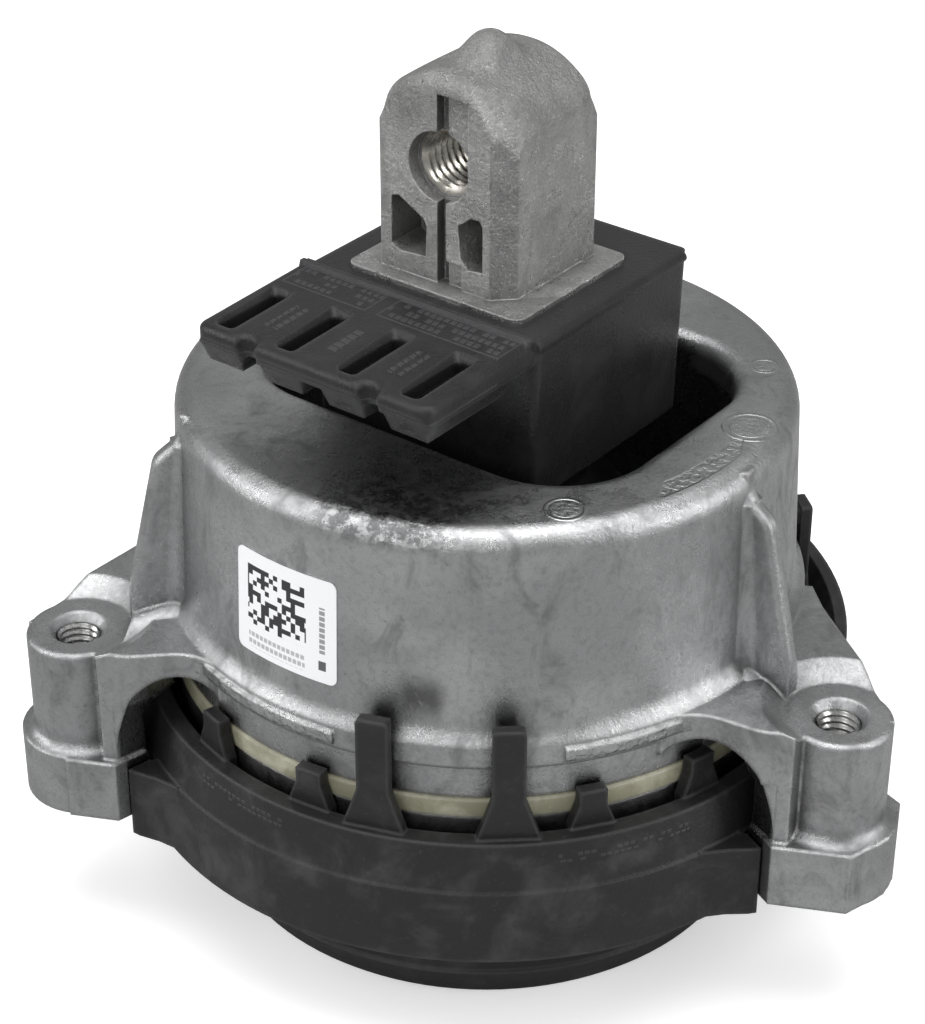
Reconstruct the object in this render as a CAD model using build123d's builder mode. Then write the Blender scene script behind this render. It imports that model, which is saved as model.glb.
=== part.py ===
from build123d import *
import os
from math import atan2, cos, degrees, hypot, radians, sin, tan

os.makedirs("parts", exist_ok=True)

# Hydraulic engine mount, in millimetres. The origin is on the upright axis, at the underside of the cup.
# X runs from the left front boss to the right one, and the front window between them faces -Y.
# The core, its rubber and the roof opening are turned about the axis by core_turn.

# Bell of the cast housing
dome_top = 109.6
dome_radius = 60.3
dome_fillet = 4.5
roof_thickness = 7.0
wall_draft = 2.4
wall_thickness = 4.2
wall_foot = 69.4
wall_foot_fillet = 5.0
lip_radius = 64.0
lip_top = 66.8
lip_bottom = 62.0
skirt_radius = 63.0
skirt_bottom = 54.8

# Opening in the roof
core_turn = -26.4
opening_length = 84.0
opening_width = 63.8
opening_shift = 4.1
opening_corner = 18.0
opening_fillet = 3.4

# Base bosses, legs, webs and ribs
boss_x = 74.2
boss_y = -36.0
boss_radius = 10.2
boss_top = 64.0
boss_rim = 1.0
boss_hole_radius = 4.25
boss_hole_depth = 24.0
boss_mouth_radius = 5.7
spot_margin = 0.5
spot_flare = 4.5
foot_bottom = 28.0
foot_top = 41.6
foot_front = -49.3
foot_radius = 12.7
foot_flare = 2.5
web_front = -47.7
web_bottom = 60.5
arch_floor = 52.0
arch_reach = 30.0
leg_corner_x = 64.2
leg_inner_x = 58.8
leg_inner_y = -41.6
leg_clearance = 0.6
ridge_width = 2.6
valley_x = 68.2
valley_y = -44.4
rear_web = 15.0
rear_web_foot = 36.0
rear_web_near = 48.0
rear_web_far = 78.0
rear_leg = 16.0
rear_leg_near = 70.0
rib_thickness = 3.8
rib_top = 104.0
rib_shoulder = 65.6
rib_shoulder_top = 100.0
rib_shoulder_fillet = 4.0
rib_blend = 5.0
rib_foot = 73.0
rib_edge = 1.2
rib_bed = 0.15
rib_flare = 3.5
rib_flare_top = 1.4
gusset_radius = 5.6
gusset_top = 68.6
gusset_fall = 2.2
gusset_ratio = 0.8
spot_depth = 10.4

# Raised strips left on the lip by the casting die
strip_radius = 64.8
strip_bottom = 63.2
strip_top = 66.2
strip_slope = 0.5
strip_spans = ((-143.0, 38.0), (-66.0, 26.0))

# Parts clamped between housing and base
clamp_radius = 63.0
spring_ring_wall = 4.7
spring_ring_bottom = 39.0
spring_collar = 5.0
spring_shoulder = 10.3
spring_rise = 7.6
spring_lap = 2.6
spring_seat = 3.0
spring_rim = 12.3
spring_waist = 8.0
spring_floor = 6.0
retainer_bottom = 50.4
retainer_margin = 0.2
retainer_seat = 0.1
retainer_rim = 0.7
plate_joint = 34.0
membrane_rim = 2.0
membrane_thickness = 1.8
membrane_depth = 13.0
membrane_shoulder = 7.0
membrane_outer = 56.0
membrane_fold = 46.0
disc_radius = 22.0
disc_thickness = 3.0
channel_inner = 46.0
channel_outer = 56.0
channel_depth = 3.0
plate_dish_outer = 40.0
plate_dish_inner = 30.0
plate_dish = 1.5
port_radius = 2.6
port_ring = 13.0
port_count = 6
port_centre = 4.0

# Moulded base: cup, ring and side walls
cup_radius = 55.1
cup_edge = 1.5
cup_shoulder = 9.0
cup_shoulder_radius = 59.3
cup_groove = 0.6
cup_wall = 3.0
cup_floor = 3.0
ring_bottom = 23.8
ring_step = 39.4
ring_top = 48.5
ring_seat = 2.7
ring_wall = 3.6
ring_slope = 2.3
ring_line = 0.4
ring_flare = 0.9
cup_inner_step = 1.0
cup_draft = 0.3
ledge_height = 27.0
side_wall_top = 56.0
side_wall_thickness = 2.4
side_wall_start = -6.0
side_wall_arc = 74.0
tab_clearance = 0.3
tab_reach = 0.62
tab_start_x = 51.0
tab_start_y = -51.0

# Clips and hooks of the base, in three equal sectors
sectors = 3
side_wall_proud = 0.3
clip_centre = -86.2
clip_spread = 10.8
clip_inner = 65.3
clip_thickness = 2.3
clip_width = 6.2
clip_flare = 12.0
clip_flare_top = 57.0
clip_top = 72.6
clip_rim = 0.8
clip_root = 4.0
barb_root = 0.5
barb_rise = 0.6
barb_slope = 1.5
barb_bottom = 68.4
barb_tip = 63.1
hook_offsets = (-45.3, -22.8, 24.7, 45.2)
hook_inner = 63.6
hook_thickness = 2.6
hook_top = 56.4
hook_width = 5.4
hook_foot = 9.0
hook_root = 3.0
hook_head = 3.0

# Core: head, flange plate, body and cone
head_length = 29.2
head_width = 27.6
crown_top = 175.5
crown_fall = 9.5
end_fall = 4.2
corner_fall = 11.9
crown_fillet = 3.0
peak_rise = 4.0
peak_sink = 5.5
peak_base_radius = 5.4
peak_tip_radius = 3.5
peak_root_fillet = 4.5
peak_tip_fillet = 2.6
head_chamfer = 3.6
thread_offset = -1.0
thread_height = 157.2
thread_mouth = 6.9
groove_left = -1.3
groove_right = 0.8
groove_depth = 2.4
upper_groove_bottom = 163.0
lower_groove_top = 152.0
panel_right = 5.8
panel_bottom = 160.0
step_right = 4.4
step_top = 139.0
panel_depth = 0.9
pocket_depth = 9.0
pocket_left = ((-12.0, 148.8), (-10.3, 149.3), (-4.4, 146.1), (-3.7, 144.7), (-4.0, 138.5), (-10.4, 138.0),
               (-12.1, 139.0))
pocket_right = ((3.5, 146.8), (6.5, 149.2), (8.5, 149.2), (9.2, 148.1), (9.2, 139.0), (5.8, 138.6), (4.1, 140.5))
plate_length = 40.6
plate_width = 35.0
plate_top = 134.0
plate_thickness = 4.5
plate_corner = 2.4
body_length = 38.0
body_width = 32.0
body_corner = 3.6
body_bottom = 92.0
cone_top_radius = 15.5
cone_low_radius = 12.0
cone_bottom = 66.0

# Steel thread insert
insert_outer = 6.3
insert_inner = 5.1
insert_recess = 3.0
insert_length = 16.0

# Rubber block with its slotted stop pad
block_length = 53.0
block_front = -20.4
block_back = 28.4
block_top = 133.0
block_bottom = 98.6
block_corner = 1.6
block_draft = 1.6
bead_radius = 1.0
bead_inset = 0.2
pad_front = -51.2
pad_left = -28.2
pad_right = 25.9
pad_rise = 0.6
pad_thickness = 4.8
pad_corner = 2.6
pad_edge = 1.2
pad_droop = 0.8
lip_width = 1.3
parting_height = 130.0
parting_step = 0.4
notch_radius = 2.3
notch_places = (-16.0, 12.4)
lobe_bottom = 124.2
lobe_front = -50.2
lobe_back = -25.0
lobe_width = 11.6
lobe_corner = 1.6
lobe_taper = 24.0
slot_count = 4
slot_pitch = 14.3
slot_width = 4.2
slot_length = 16.6
slot_centre = -40.5
slot_depth = 7.6
slot_middle = -1.6
slot_bevel = 1.3
slot_corner = 1.2

# Label on the front of the bell
label_bottom = 73.5
label_top = 96.4
label_arc = 22.2
label_thickness = 0.2

core_along = Vector(cos(radians(core_turn)), sin(radians(core_turn)), 0)
core_front = core_along.cross(Vector(0, 0, 1))
boss_angle = degrees(atan2(boss_y, boss_x))
boss_pitch = hypot(boss_x, boss_y)
skirt_inner = skirt_radius - wall_thickness
ring_inner_radius = clamp_radius + ring_seat
ring_top_radius = ring_inner_radius + ring_wall
cup_neck_radius = cup_shoulder_radius - cup_groove
ring_mid_radius = ring_top_radius + ring_slope
ring_low_radius = ring_mid_radius + ring_line + ring_flare
side_wall_radius = ring_low_radius + side_wall_proud
leg_gap = ring_low_radius + leg_clearance
spring_ring_inner = clamp_radius - spring_ring_wall
peak_top = crown_top + peak_rise


def wall_radius(height):
    """Outer radius of the drafted bell wall at a height."""
    return dome_radius + (dome_top - height) * tan(radians(wall_draft))


def turned(height):
    """Level plane at a height, with its x along the long side of the core."""
    return Plane(origin=(0, 0, height), x_dir=core_along)


def front_face(distance):
    """Upright plane that faces the way the threaded hole does, at a distance in front of the axis."""
    return Plane(origin=core_front * distance, x_dir=core_along, z_dir=core_front)


def side_face(distance):
    """Upright plane across the core at a distance along it: its x points away from the threaded hole."""
    return Plane(origin=core_along * distance, x_dir=-core_front, z_dir=core_along)


def direction(angle):
    """Level unit vector at an angle from X."""
    return Vector(cos(radians(angle)), sin(radians(angle)), 0)


def radial_plane(angle):
    """Upright plane through the axis: its x points outward at the angle, its y up."""
    outward = direction(angle)
    return Plane(origin=(0, 0, 0), x_dir=outward, z_dir=outward.cross(Vector(0, 0, 1)))


def facing_plane(angle, radius):
    """Upright plane square to the direction at an angle, at a radius from the axis."""
    outward = direction(angle)
    across = Vector(0, 0, 1).cross(outward)
    return Plane(origin=outward * radius, x_dir=across, z_dir=outward)


# Plan outlines of the right front leg, mirrored for the left one
ridge_x = leg_corner_x + ridge_width
web_outline = [(ridge_x, web_front), (valley_x, valley_y), (boss_x, boss_y), (boss_x + boss_radius, boss_y),
               (78.4, -23.5), (76.6, -20.5), (71.4, -10.5), (68.1, -4.0), (65.5, 3), (30, 3), (30, -45)]
web_curve = [(42.5, -47.9), (46.5, -45.4), (51.0, -45.0), (56.5, -46.6), (leg_corner_x, web_front)]
arch_curve = [(leg_corner_x - 2.8, arch_floor + 1), (60.9, 55.8), (59.0, 58.3), (56.4, 60.3), (52.2, 61.5),
              (48.0, 61.3), (44.7, 60.3), (41.6, 58.4), (37.0, skirt_bottom - 1)]
blade_outline = [(leg_inner_x, leg_inner_y), (leg_corner_x, web_front), (ridge_x, web_front), (valley_x, valley_y),
                 (boss_x, boss_y), (78.4, -23.5), (66, -24), (56, -34)]
foot_outline = [(leg_inner_x + 0.6, leg_inner_y - 1.6), (leg_corner_x, foot_front), (boss_x, foot_front),
                (boss_x, -24), (66, -24), (56, -34)]
foot_corner = [(boss_x, foot_front), (79.0, foot_front), (85.6, -42.0), (87.0, -37.0), (87.0, -31.0), (80.5, -24.5),
               (boss_x, -24)]
rear_foot = [(-17, 70), (-13, 88), (-7, 95), (7, 95), (13, 88), (17, 70)]
facet_in = Vector(leg_inner_x + 0.6, leg_inner_y - 1.6)
facet_out = Vector(leg_corner_x, foot_front)
facet_normal = Vector(0, 0, 1).cross(facet_in - facet_out).normalized()
tab_in = facet_in + facet_normal * tab_clearance
tab_out = facet_in + (facet_out - facet_in) * tab_reach + facet_normal * tab_clearance
tab_outline = [(tab_start_x, tab_start_y), (56.2, -48.9), (tab_out.X - 1.6, tab_out.Y - 0.7), (tab_out.X, tab_out.Y),
               (tab_in.X, tab_in.Y), (50, -40)]
boss_centres = [(boss_x, boss_y), (-boss_x, boss_y), (0, boss_pitch)]
under_web = [(leg_corner_x, -60), (95, -60), (95, 10), (30, 10), (30, -38), (leg_corner_x, -38)]
rib_angles = (boss_angle, 180 - boss_angle, 90)
gusset_lines = [((-66.0, -35.4), (-54.8, -28.3), gusset_radius),
                ((61.5, -28.0), (54.5, -28.9), gusset_radius * gusset_ratio)]

with BuildPart() as housing:
    for angle in rib_angles:
        with BuildSketch(radial_plane(angle)) as rib_section:
            Polygon((skirt_inner, lip_top), (skirt_inner, rib_top + rib_blend),
                    (wall_radius(rib_top + rib_blend) - rib_bed, rib_top + rib_blend),
                    (wall_radius(rib_top) - rib_bed, rib_top), (rib_shoulder, rib_shoulder_top),
                    (rib_foot, lip_top), align=None)
            fillet(rib_section.vertices().sort_by_distance((rib_shoulder, rib_shoulder_top, 0))[0],
                   rib_shoulder_fillet)
            fillet(rib_section.vertices().sort_by_distance((wall_radius(rib_top), rib_top, 0))[0], rib_blend)
        extrude(amount=rib_thickness / 2, both=True)
    outer_lines = [edge for edge in housing.edges() if abs(edge.tangent_at(0.5).Z) > 0.5
                   and hypot(edge.center().X, edge.center().Y) > wall_radius(edge.center().Z) + 0.5
                   and lip_top - 1 < edge.center().Z < rib_top]
    fillet(outer_lines, rib_edge)
    for side in (1, -1):
        with BuildSketch(Plane.XY.offset(skirt_bottom)):
            with BuildLine():
                Spline(*[(side * x, y) for x, y in web_curve])
                Polyline(*[(side * x, y) for x, y in [web_curve[-1]] + web_outline + [web_curve[0]]])
            make_face()
        extrude(amount=lip_top - skirt_bottom)
        with BuildSketch(Plane.XZ.offset(-web_front + 1)):
            with BuildLine():
                Spline(*[(side * x, z) for x, z in arch_curve])
                Polyline(*[(side * x, z) for x, z in [arch_curve[-1], (arch_curve[-1][0], arch_floor),
                                                      (arch_curve[0][0], arch_floor), arch_curve[0]]])
            make_face()
        extrude(amount=-arch_reach, mode=Mode.SUBTRACT)
        with BuildSketch(Plane.XY.offset(arch_floor)):
            Polygon(*[(side * x, y) for x, y in under_web], align=None)
        extrude(amount=web_bottom - arch_floor, mode=Mode.SUBTRACT)
        with BuildSketch(Plane.XY.offset(foot_top - 1)):
            Polygon(*[(side * x, y) for x, y in blade_outline], align=None)
        extrude(amount=boss_top - foot_top + 1)
        with BuildSketch(Plane.XY.offset(foot_bottom)):
            Polygon(*[(side * x, y) for x, y in foot_outline], align=None)
            if side == 1:
                Polygon(*foot_corner, align=None)
            with Locations((side * boss_x, boss_y)):
                Circle(foot_radius)
        extrude(amount=foot_top - foot_bottom)
    with BuildSketch(Plane.XY.offset(web_bottom)):
        Polygon((-rear_web_foot, rear_web_near), (-rear_web, rear_web_far), (rear_web, rear_web_far),
                (rear_web_foot, rear_web_near), align=None)
    extrude(amount=lip_top - web_bottom)
    with BuildSketch(Plane.XY.offset(foot_top - 1)):
        Polygon((-rear_leg, rear_leg_near), (-boss_radius, boss_pitch), (boss_radius, boss_pitch),
                (rear_leg, rear_leg_near), align=None)
    extrude(amount=boss_top - foot_top + 1)
    with BuildSketch(Plane.XY.offset(foot_bottom)):
        Polygon(*rear_foot, align=None)
    extrude(amount=foot_top - foot_bottom)
    for x, y in boss_centres:
        with BuildSketch(Plane(origin=(x, y, 0), x_dir=(1, 0, 0), z_dir=(0, -1, 0))) as boss_section:
            with BuildLine():
                Polyline((0, foot_top), (boss_radius + foot_flare, foot_top))
                ThreePointArc((boss_radius + foot_flare, foot_top),
                              (boss_radius + 0.29 * foot_flare, foot_top + 0.29 * foot_flare),
                              (boss_radius, foot_top + foot_flare))
                Polyline((boss_radius, foot_top + foot_flare), (boss_radius, boss_top), (0, boss_top), (0, foot_top))
            make_face()
            fillet(boss_section.vertices().sort_by_distance((boss_radius, boss_top, 0))[0], boss_rim)
        revolve(axis=Axis((x, y, 0), (0, 0, 1)))
    with BuildSketch(Plane.XY.offset(foot_bottom - 1)):
        Circle(leg_gap)
        Circle(skirt_radius - 1, mode=Mode.SUBTRACT)
    extrude(amount=arch_floor + 1 - foot_bottom, mode=Mode.SUBTRACT)
    for x, y in boss_centres:
        with BuildSketch(Plane(origin=(x, y, 0), x_dir=(1, 0, 0), z_dir=(0, -1, 0))):
            Polygon((0, boss_top), (boss_radius + spot_margin, boss_top),
                    (boss_radius + spot_margin + spot_flare, lip_top + 0.1), (0, lip_top + 0.1), align=None)
        revolve(axis=Axis((x, y, 0), (0, 0, 1)), mode=Mode.SUBTRACT)
    with BuildSketch(Plane.XZ) as bell_section:
        with BuildLine():
            Polyline((0, skirt_bottom), (skirt_radius, skirt_bottom), (skirt_radius, lip_bottom),
                     (lip_radius, lip_bottom), (lip_radius, lip_top), (wall_radius(wall_foot), wall_foot),
                     (dome_radius, dome_top), (0, dome_top), close=True)
        make_face()
        fillet(bell_section.vertices().sort_by_distance((dome_radius, dome_top, 0))[0], dome_fillet)
        fillet(bell_section.vertices().sort_by_distance((wall_radius(wall_foot), wall_foot, 0))[0],
               wall_foot_fillet)
    revolve(axis=Axis.Z)
    for start, span in strip_spans:
        with BuildSketch(radial_plane(start)):
            Polygon((skirt_radius, strip_bottom - strip_slope), (strip_radius, strip_bottom),
                    (strip_radius, strip_top - strip_slope), (skirt_radius, strip_top), align=None)
        revolve(axis=Axis.Z, revolution_arc=span)
    for (x_out, y_out), (x_in, y_in), radius in gusset_lines:
        outer = Vector(x_out, y_out, gusset_top - gusset_fall - radius)
        inner = Vector(x_in, y_in, gusset_top - radius)
        with BuildSketch(Plane(origin=outer, z_dir=inner - outer)):
            Circle(radius)
        extrude(amount=(inner - outer).length)
        with Locations(outer):
            Sphere(radius)
    for angle in rib_angles:
        with BuildSketch(radial_plane(angle)):
            Polygon((skirt_inner, boss_top - 1), (skirt_inner, lip_top + 1), (rib_foot - 2 * rib_bed, lip_top + 1),
                    (rib_foot, lip_top), (rib_foot, boss_top - 1), align=None)
        extrude(amount=rib_thickness / 2 - rib_bed, both=True)
        for height, flare in ((lip_top - 2, rib_flare), (rib_top - 1, rib_flare_top)):
            root = wall_radius(height)
            half = rib_thickness / 2
            with BuildSketch(Plane(origin=(0, 0, height), x_dir=direction(angle))):
                with BuildLine():
                    Polyline((root + flare, -half), (root + flare, half))
                    ThreePointArc((root + flare, half), (root + 0.29 * flare, half + 0.29 * flare),
                                  (root - 2 * rib_bed, half + flare))
                    Polyline((root - 2 * rib_bed, half + flare), (root - 1, half + flare),
                             (root - 1, -half - flare), (root - 2 * rib_bed, -half - flare))
                    ThreePointArc((root - 2 * rib_bed, -half - flare), (root + 0.29 * flare, -half - 0.29 * flare),
                                  (root + flare, -half))
                make_face()
        loft()
    with BuildSketch(Plane.XZ):
        Polygon((0, arch_floor), (skirt_inner, arch_floor), (skirt_inner, web_bottom + 2),
                (wall_radius(wall_foot) - wall_thickness, wall_foot + 4),
                (dome_radius - wall_thickness, dome_top - roof_thickness), (0, dome_top - roof_thickness),
                align=None)
    revolve(axis=Axis.Z, mode=Mode.SUBTRACT)
    with BuildSketch(turned(dome_top)):
        with Locations((0, opening_shift)):
            RectangleRounded(opening_length, opening_width, opening_corner)
    extrude(amount=-roof_thickness - 1, mode=Mode.SUBTRACT)
    rim = housing.edges().filter_by_position(Axis.Z, dome_top - 0.01, dome_top + 0.01)
    fillet([edge for edge in rim if hypot(edge.center().X, edge.center().Y) < dome_radius - 10], opening_fillet)
    with BuildSketch(Plane.XY.offset(boss_top)):
        with Locations(*boss_centres):
            Circle(boss_radius + spot_margin)
    extrude(amount=spot_depth, mode=Mode.SUBTRACT)
    with Locations(*[(x, y, boss_top) for x, y in boss_centres]):
        CounterSinkHole(boss_hole_radius, boss_mouth_radius, depth=boss_hole_depth)

with BuildPart() as base_cup:
    with BuildSketch(Plane.XZ):
        Polygon((0, 0), (cup_radius - cup_edge, 0), (cup_radius, cup_edge), (cup_shoulder_radius, cup_shoulder),
                (cup_neck_radius, cup_shoulder + cup_groove), (cup_neck_radius + cup_draft, ring_bottom),
                (ring_low_radius, ring_bottom), (ring_mid_radius + ring_line, ring_step - ring_line),
                (ring_mid_radius, ring_step), (ring_top_radius, ring_top), (ring_inner_radius, ring_top),
                (ring_inner_radius, ledge_height), (cup_neck_radius + cup_draft - cup_wall, ledge_height),
                (cup_neck_radius - cup_wall, cup_shoulder + cup_inner_step), (cup_radius - cup_wall, cup_floor),
                (0, cup_floor), align=None)
    revolve(axis=Axis.Z)
    for side in (1, -1):
        with BuildSketch(Plane.XY.offset(ring_bottom)):
            Polygon(*[(side * x, y) for x, y in tab_outline], align=None)
            Circle(ring_inner_radius + 1, mode=Mode.SUBTRACT)
        extrude(amount=ring_step - ring_bottom)
    for sector in range(sectors):
        middle = clip_centre + sector * 360 / sectors
        for spread in (-clip_spread, clip_spread):
            with BuildSketch(facing_plane(middle + spread, clip_inner)) as clip:
                Polygon((-clip_flare / 2, ring_top - clip_root), (clip_flare / 2, ring_top - clip_root),
                        (clip_flare / 2, ring_top),
                        (clip_width / 2, clip_flare_top), (clip_width / 2, clip_top), (-clip_width / 2, clip_top),
                        (-clip_width / 2, clip_flare_top), (-clip_flare / 2, ring_top), align=None)
                fillet(clip.vertices().group_by(Axis.Z)[-1], clip_rim)
            extrude(amount=clip_thickness)
            with BuildSketch(radial_plane(middle + spread)):
                Polygon((clip_inner + barb_root, barb_bottom), (barb_tip, barb_bottom + barb_rise),
                        (barb_tip, clip_top - barb_slope), (clip_inner + barb_root, clip_top - barb_root), align=None)
            extrude(amount=clip_width / 2 - clip_rim, both=True)
        for hook_offset in hook_offsets:
            with BuildSketch(facing_plane(middle + hook_offset, hook_inner)):
                Polygon((-hook_foot / 2, ring_top - hook_root), (hook_foot / 2, ring_top - hook_root),
                        (hook_foot / 2, ring_top), (hook_width / 2, hook_top - hook_head), (hook_width / 2, hook_top),
                        (-hook_width / 2, hook_top), (-hook_width / 2, hook_top - hook_head),
                        (-hook_foot / 2, ring_top), align=None)
            extrude(amount=hook_thickness)
    for start in (side_wall_start, 180 - side_wall_start - side_wall_arc):
        with BuildSketch(radial_plane(start)):
            Polygon((ring_top_radius - 0.5, ring_step - 1), (side_wall_radius, ring_step - 1),
                    (side_wall_radius, side_wall_top), (side_wall_radius - side_wall_thickness, side_wall_top),
                    (ring_top_radius - 0.5, ring_top), align=None)
        revolve(axis=Axis.Z, revolution_arc=side_wall_arc)

with BuildPart() as core:
    for distance, fall in ((-head_width / 2, end_fall), (0, 0), (head_width / 2, end_fall)):
        side_height = crown_top - (corner_fall if fall else crown_fall)
        with BuildSketch(front_face(distance)):
            with BuildLine():
                Polyline((-head_length / 2, side_height), (-head_length / 2, plate_top - 1),
                         (head_length / 2, plate_top - 1), (head_length / 2, side_height))
                ThreePointArc((head_length / 2, side_height), (0, crown_top - fall), (-head_length / 2, side_height))
            make_face()
    loft()
    with BuildSketch(Plane.XZ):
        Polygon((0, plate_top), (peak_base_radius, plate_top), (peak_base_radius, crown_top - peak_sink),
                (peak_tip_radius, peak_top), (0, peak_top), align=None)
    revolve(axis=Axis.Z)
    fillet([edge for edge in core.edges() if edge.geom_type != GeomType.LINE and edge.center().Z < crown_top + 0.5
            and edge.center().Z > crown_top - peak_sink and edge.bounding_box().size.X < 2 * peak_base_radius + 2],
           peak_root_fillet)
    fillet(core.edges().sort_by(Axis.Z)[-1], peak_tip_fillet)
    fillet([edge for edge in core.edges() if edge.geom_type != GeomType.LINE
            and edge.bounding_box().size.Z < corner_fall + end_fall
            and panel_bottom < edge.center().Z < crown_top - end_fall + 0.5], crown_fillet)
    with BuildSketch(turned(plate_top)):
        RectangleRounded(plate_length, plate_width, plate_corner)
    extrude(amount=-plate_thickness)
    with BuildSketch(turned(plate_top - plate_thickness)):
        RectangleRounded(body_length, body_width, body_corner)
    extrude(amount=-(plate_top - plate_thickness - body_bottom))
    with BuildSketch(Plane.XZ):
        Polygon((0, cone_bottom), (cone_low_radius, cone_bottom), (cone_top_radius, body_bottom), (0, body_bottom),
                align=None)
    revolve(axis=Axis.Z)
    with BuildSketch(turned(plate_top)):
        Polygon((head_length / 2 + 1, -head_width / 2 + head_chamfer + 1),
                (head_length / 2 - head_chamfer - 1, -head_width / 2 - 1),
                (head_length / 2 + 1, -head_width / 2 - 1), align=None)
    extrude(amount=peak_top - plate_top, mode=Mode.SUBTRACT)
    with BuildSketch(front_face(head_width / 2)):
        with Locations((thread_offset, thread_height)):
            Circle(thread_mouth)
    extrude(amount=-insert_recess, mode=Mode.SUBTRACT)
    with BuildSketch(front_face(head_width / 2 - insert_recess)):
        with Locations((thread_offset, thread_height)):
            Circle(insert_outer)
    extrude(amount=-insert_length, mode=Mode.SUBTRACT)
    with BuildSketch(front_face(head_width / 2)):
        Polygon((groove_left, upper_groove_bottom), (groove_right, upper_groove_bottom),
                (groove_right, crown_top), (groove_left, crown_top), align=None)
        Polygon((groove_left, plate_top), (groove_right, plate_top), (groove_right, lower_groove_top),
                (groove_left, lower_groove_top), align=None)
    extrude(amount=-groove_depth, mode=Mode.SUBTRACT)
    with BuildSketch(front_face(head_width / 2)):
        Polygon((0, panel_bottom), (panel_right, panel_bottom), (panel_right, crown_top), (0, crown_top),
                align=None)
        Polygon((0, plate_top), (step_right, plate_top), (step_right, step_top), (0, step_top), align=None)
    extrude(amount=-panel_depth, mode=Mode.SUBTRACT)
    with BuildSketch(front_face(head_width / 2)):
        Polygon(*pocket_left, align=None)
        Polygon(*pocket_right, align=None)
    extrude(amount=-pocket_depth, mode=Mode.SUBTRACT)

with BuildPart() as thread_insert:
    with BuildSketch(front_face(head_width / 2 - insert_recess)):
        with Locations((thread_offset, thread_height)):
            Circle(insert_outer)
            Circle(insert_inner, mode=Mode.SUBTRACT)
    extrude(amount=-insert_length)

with BuildPart() as stop_buffer:
    pad_bottom = block_top - pad_thickness
    with BuildSketch(side_face(pad_left)):
        Polygon((pad_front + 2 * parting_step, pad_bottom), (pad_front + parting_step, parting_height),
                (pad_front, parting_height), (pad_front, block_top - pad_droop),
                (block_front - lip_width, block_top), (block_front - lip_width + 0.2, block_top + pad_rise),
                (block_front, block_top + pad_rise), (block_front + 0.2, block_top),
                (block_front + lip_width, block_top), (block_front + lip_width, pad_bottom), align=None)
    extrude(amount=pad_right - pad_left)
    with BuildSketch(turned(block_top + 2 * pad_rise)):
        with Locations(((pad_left + pad_right) / 2, (pad_front + block_front) / 2 + pad_corner)):
            RectangleRounded(pad_right - pad_left, block_front - pad_front + 2 * pad_corner, pad_corner)
        with Locations(*[(place, pad_front) for place in notch_places]):
            Circle(notch_radius, mode=Mode.SUBTRACT)
    extrude(amount=-pad_thickness - 3 * pad_rise, mode=Mode.INTERSECT)
    upper_rim = [edge for edge in stop_buffer.edges()
                 if block_top - pad_droop - 0.1 < edge.center().Z < block_top - 0.1
                 and turned(0).to_local_coords(edge.center()).Y < block_front - lip_width]
    fillet(upper_rim, pad_edge)
    slot_places = [slot_middle + slot_pitch * (i - (slot_count - 1) / 2) for i in range(slot_count)]
    for place in slot_places:
        with BuildSketch(turned(pad_bottom)):
            with Locations((place, (lobe_front + lobe_back) / 2)):
                RectangleRounded(lobe_width, lobe_back - lobe_front, lobe_corner)
        extrude(amount=-(pad_bottom - lobe_bottom), taper=lobe_taper)
    with BuildSketch(turned(block_top)):
        with Locations((0, (block_front + block_back) / 2)):
            RectangleRounded(block_length, block_back - block_front, block_corner)
    extrude(amount=-(block_top - block_bottom), taper=block_draft)
    with BuildSketch(front_face(-block_front)):
        with Locations((block_length / 2 - bead_inset, block_top - bead_radius)):
            Circle(bead_radius)
    extrude(amount=block_front - block_back + block_corner)
    with BuildSketch(turned(block_top)):
        with Locations(*[(place - slot_bevel / 2, slot_centre + slot_bevel / 2) for place in slot_places]):
            Rectangle(slot_width + slot_bevel, slot_length + slot_bevel)
    extrude(amount=-slot_bevel, taper=45, mode=Mode.SUBTRACT)
    with BuildSketch(turned(block_top)):
        with Locations(*[(place, slot_centre) for place in slot_places]):
            RectangleRounded(slot_width, slot_length, slot_corner)
    extrude(amount=-slot_depth, mode=Mode.SUBTRACT)
    with BuildSketch(turned(block_top)):
        RectangleRounded(plate_length, plate_width, plate_corner)
    extrude(amount=-(block_top - plate_top + plate_thickness), mode=Mode.SUBTRACT)
    with BuildSketch(turned(block_top)):
        RectangleRounded(body_length, body_width, body_corner)
    extrude(amount=-(block_top - block_bottom + 1), mode=Mode.SUBTRACT)

with BuildPart() as rubber_spring:
    with BuildSketch(Plane.XZ):
        Polygon((0, cone_bottom), (cone_low_radius, cone_bottom), (cone_top_radius, body_bottom),
                (cone_top_radius + spring_collar, body_bottom - 1),
                (spring_ring_inner - spring_shoulder, retainer_bottom + spring_rise),
                (spring_ring_inner, retainer_bottom + spring_lap),
                (spring_ring_inner, spring_ring_bottom + spring_seat),
                (spring_ring_inner - spring_rim, spring_ring_bottom + spring_seat),
                (cone_low_radius + spring_waist, cone_bottom - spring_floor), (0, cone_bottom - spring_floor),
                align=None)
    revolve(axis=Axis.Z)

with BuildPart() as spring_ring:
    with BuildSketch(Plane.XZ):
        Polygon((spring_ring_inner, spring_ring_bottom), (clamp_radius, spring_ring_bottom),
                (clamp_radius, retainer_bottom), (spring_ring_inner, retainer_bottom), align=None)
    revolve(axis=Axis.Z)

with BuildPart() as retaining_ring:
    with BuildSketch(Plane.XZ):
        Polygon((spring_ring_inner + retainer_seat, retainer_bottom),
                (clamp_radius + retainer_margin, retainer_bottom),
                (clamp_radius + retainer_margin, skirt_bottom - retainer_rim),
                (clamp_radius + retainer_margin - retainer_rim, skirt_bottom),
                (spring_ring_inner + retainer_seat, skirt_bottom), align=None)
    revolve(axis=Axis.Z)

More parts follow.
